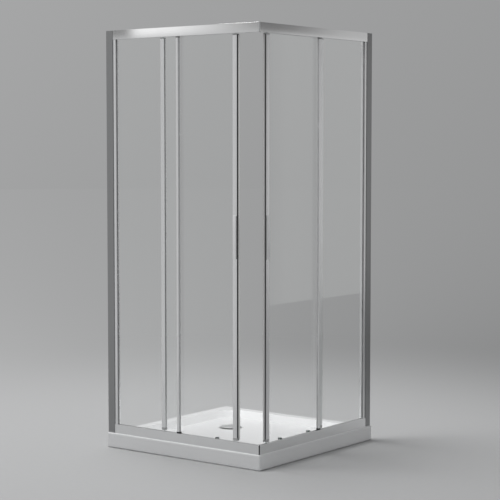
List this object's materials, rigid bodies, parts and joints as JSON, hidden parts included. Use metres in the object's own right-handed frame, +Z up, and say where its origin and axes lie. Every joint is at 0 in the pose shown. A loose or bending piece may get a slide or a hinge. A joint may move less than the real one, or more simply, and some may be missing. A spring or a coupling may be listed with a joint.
{
  "type": "corner shower enclosure",
  "caption": "Square corner shower enclosure: fixed glass panels and sliding doors that meet at the entry corner, aluminium frame, low white tray with a round drain.",
  "frame": {"origin": "bottom centre of the tray", "axes": "+Z up; the walls of the room are the planes at -X and +Y; the entry corner is at +X and -Y"},
  "size_m": [0.9, 0.9, 1.95],
  "materials": {
    "tray_white": "cast resin with a smooth gloss surface",
    "satin_aluminium": "anodised, satin",
    "polished_aluminium": "anodised, polished",
    "clear_glass": "toughened, clear",
    "dark_rubber": "matt",
    "seal_grey": "soft, satin",
    "black_plastic": "moulded, satin",
    "grey_plastic": "moulded, satin",
    "pale_nylon": "moulded, satin",
    "magnet_plastic": "soft extruded plastic",
    "zinc_steel": "zinc plated",
    "chrome_cover": "polished",
    "cap_plastic": "moulded, gloss"
  },
  "bodies": {
    "enclosure": {"shower_tray": "tray_white", "drain_flange": "zinc_steel", "drain_seal": "dark_rubber", "drain_nut": "black_plastic", "top_corner_connector": "cap_plastic", "bottom_corner_connector": "black_plastic", "channel_caps": "cap_plastic", "post_feet": "black_plastic", "door_stops": "dark_rubber", "frame_screws": "zinc_steel", "stile_screws": "zinc_steel", "screw_caps": "cap_plastic", "left_wall_channel": "satin_aluminium", "left_wall_stile": "polished_aluminium", "left_glazing_gasket": "seal_grey", "left_fixed_glass": "clear_glass", "left_fixed_post": "satin_aluminium", "left_post_seal": "dark_rubber", "left_top_rail": "satin_aluminium", "left_bottom_rail": "satin_aluminium", "right_wall_channel": "satin_aluminium", "right_wall_stile": "polished_aluminium", "right_glazing_gasket": "seal_grey", "right_fixed_glass": "clear_glass", "right_fixed_post": "satin_aluminium", "right_post_seal": "dark_rubber", "right_top_rail": "satin_aluminium", "right_bottom_rail": "satin_aluminium"},
    "drain_cover": {"drain_cover": "chrome_cover"},
    "left_door": {"left_door_glass": "clear_glass", "left_leading_stile": "satin_aluminium", "left_trailing_stile": "satin_aluminium", "left_stile_caps": "cap_plastic", "left_magnet_strip": "magnet_plastic", "left_handle": "polished_aluminium", "left_roller_hangers": "zinc_steel", "left_roller_arms": "grey_plastic", "left_roller_studs": "zinc_steel"},
    "left_top_front_wheel": {"left_top_front_wheel": "pale_nylon"},
    "left_top_rear_wheel": {"left_top_rear_wheel": "pale_nylon"},
    "left_bottom_front_wheel": {"left_bottom_front_wheel": "pale_nylon"},
    "left_bottom_rear_wheel": {"left_bottom_rear_wheel": "pale_nylon"},
    "left_front_button": {"left_front_button": "black_plastic"},
    "left_rear_button": {"left_rear_button": "black_plastic"},
    "right_door": {"right_door_glass": "clear_glass", "right_leading_stile": "satin_aluminium", "right_trailing_stile": "satin_aluminium", "right_stile_caps": "cap_plastic", "right_magnet_strip": "magnet_plastic", "right_handle": "polished_aluminium", "right_roller_hangers": "zinc_steel", "right_roller_arms": "grey_plastic", "right_roller_studs": "zinc_steel"},
    "right_top_front_wheel": {"right_top_front_wheel": "pale_nylon"},
    "right_top_rear_wheel": {"right_top_rear_wheel": "pale_nylon"},
    "right_bottom_front_wheel": {"right_bottom_front_wheel": "pale_nylon"},
    "right_bottom_rear_wheel": {"right_bottom_rear_wheel": "pale_nylon"},
    "right_front_button": {"right_front_button": "black_plastic"},
    "right_rear_button": {"right_rear_button": "black_plastic"}
  },
  "joints": [
    {"name": "drain_cover_lift", "type": "slide", "parent": "enclosure", "child": "drain_cover", "axis": [0, 0, 1], "range_m": [0, 0.03]},
    {"name": "left_door_slide", "type": "slide", "parent": "enclosure", "child": "left_door", "axis": [-1, 0, 0], "range_m": [-0.102, 0.264]},
    {"name": "left_top_front_wheel_roll", "type": "hinge", "parent": "left_door", "child": "left_top_front_wheel", "pos_m": [0.222, -0.41, 1.9303], "axis": [0, -1, 0], "range_deg": [-732, 1892]},
    {"name": "left_top_rear_wheel_roll", "type": "hinge", "parent": "left_door", "child": "left_top_rear_wheel", "pos_m": [-0.048, -0.41, 1.9303], "axis": [0, -1, 0], "range_deg": [-732, 1892]},
    {"name": "left_bottom_front_wheel_roll", "type": "hinge", "parent": "left_door", "child": "left_bottom_front_wheel", "pos_m": [0.2065, -0.41, 0.0853], "axis": [0, -1, 0], "range_deg": [-836, 2162]},
    {"name": "left_bottom_rear_wheel_roll", "type": "hinge", "parent": "left_door", "child": "left_bottom_rear_wheel", "pos_m": [-0.012, -0.41, 0.0853], "axis": [0, -1, 0], "range_deg": [-836, 2162]},
    {"name": "left_front_button_press", "type": "slide", "parent": "left_door", "child": "left_front_button", "axis": [0, -1, 0], "range_m": [0, 0.0015], "stiffness_N_per_m": 400},
    {"name": "left_rear_button_press", "type": "slide", "parent": "left_door", "child": "left_rear_button", "axis": [0, -1, 0], "range_m": [0, 0.0015], "stiffness_N_per_m": 400},
    {"name": "right_door_slide", "type": "slide", "parent": "enclosure", "child": "right_door", "axis": [0, 1, 0], "range_m": [-0.035, 0.331]},
    {"name": "right_top_front_wheel_roll", "type": "hinge", "parent": "right_door", "child": "right_top_front_wheel", "pos_m": [0.41, -0.289, 1.9303], "axis": [-1, 0, 0], "range_deg": [-252, 2372]},
    {"name": "right_top_rear_wheel_roll", "type": "hinge", "parent": "right_door", "child": "right_top_rear_wheel", "pos_m": [0.41, -0.019, 1.9303], "axis": [-1, 0, 0], "range_deg": [-252, 2372]},
    {"name": "right_bottom_front_wheel_roll", "type": "hinge", "parent": "right_door", "child": "right_bottom_front_wheel", "pos_m": [0.41, -0.2735, 0.0853], "axis": [-1, 0, 0], "range_deg": [-288, 2711]},
    {"name": "right_bottom_rear_wheel_roll", "type": "hinge", "parent": "right_door", "child": "right_bottom_rear_wheel", "pos_m": [0.41, -0.055, 0.0853], "axis": [-1, 0, 0], "range_deg": [-288, 2711]},
    {"name": "right_front_button_press", "type": "slide", "parent": "right_door", "child": "right_front_button", "axis": [1, 0, 0], "range_m": [0, 0.0015], "stiffness_N_per_m": 400},
    {"name": "right_rear_button_press", "type": "slide", "parent": "right_door", "child": "right_rear_button", "axis": [1, 0, 0], "range_m": [0, 0.0015], "stiffness_N_per_m": 400}
  ],
  "couplings": [
    {"joint": "left_top_front_wheel_roll", "follows": "left_door_slide", "rad_per_m": 125},
    {"joint": "left_top_rear_wheel_roll", "follows": "left_door_slide", "rad_per_m": 125},
    {"joint": "left_bottom_front_wheel_roll", "follows": "left_door_slide", "rad_per_m": 142.86},
    {"joint": "left_bottom_rear_wheel_roll", "follows": "left_door_slide", "rad_per_m": 142.86},
    {"joint": "right_top_front_wheel_roll", "follows": "right_door_slide", "rad_per_m": 125},
    {"joint": "right_top_rear_wheel_roll", "follows": "right_door_slide", "rad_per_m": 125},
    {"joint": "right_bottom_front_wheel_roll", "follows": "right_door_slide", "rad_per_m": 142.86},
    {"joint": "right_bottom_rear_wheel_roll", "follows": "right_door_slide", "rad_per_m": 142.86}
  ]
}
